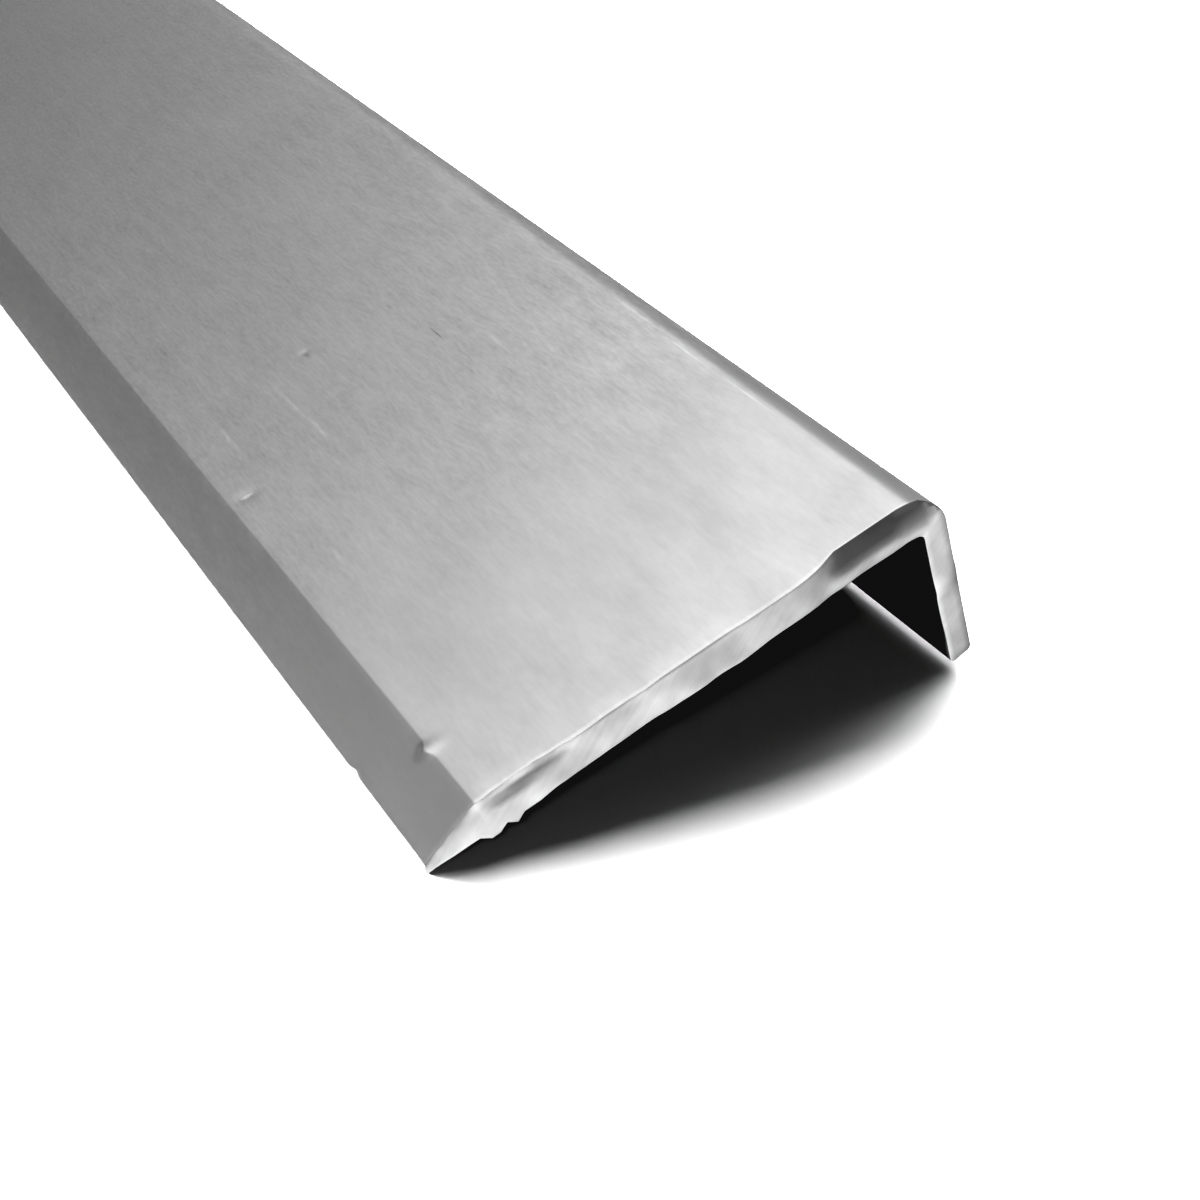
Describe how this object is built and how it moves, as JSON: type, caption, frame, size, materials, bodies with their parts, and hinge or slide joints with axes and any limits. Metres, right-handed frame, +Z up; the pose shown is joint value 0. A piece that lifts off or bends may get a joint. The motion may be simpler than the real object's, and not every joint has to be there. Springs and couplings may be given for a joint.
{
  "type": "aluminium extrusion profile",
  "caption": "Aluminium extrusion with a flat plate, a bevelled front edge and a square leg along the back, cut to length, for capping the edge of a step, floor or panel.",
  "frame": {"origin": "on the floor, under the middle of the bar's length and of its width", "axes": "+X along the bar towards the end that the picture shows, +Y across the bar from the bevelled nose to the leg, +Z up; the bar lies on its nose and on the foot of its leg, so the plate slopes by 18 degrees"},
  "size_m": [1, 0.0336, 0.0113],
  "materials": {
    "profile": "mill finish with fine lengthwise die lines, sawn ends"
  },
  "bodies": {
    "root": {"profile": "profile"}
  },
  "joints": []
}
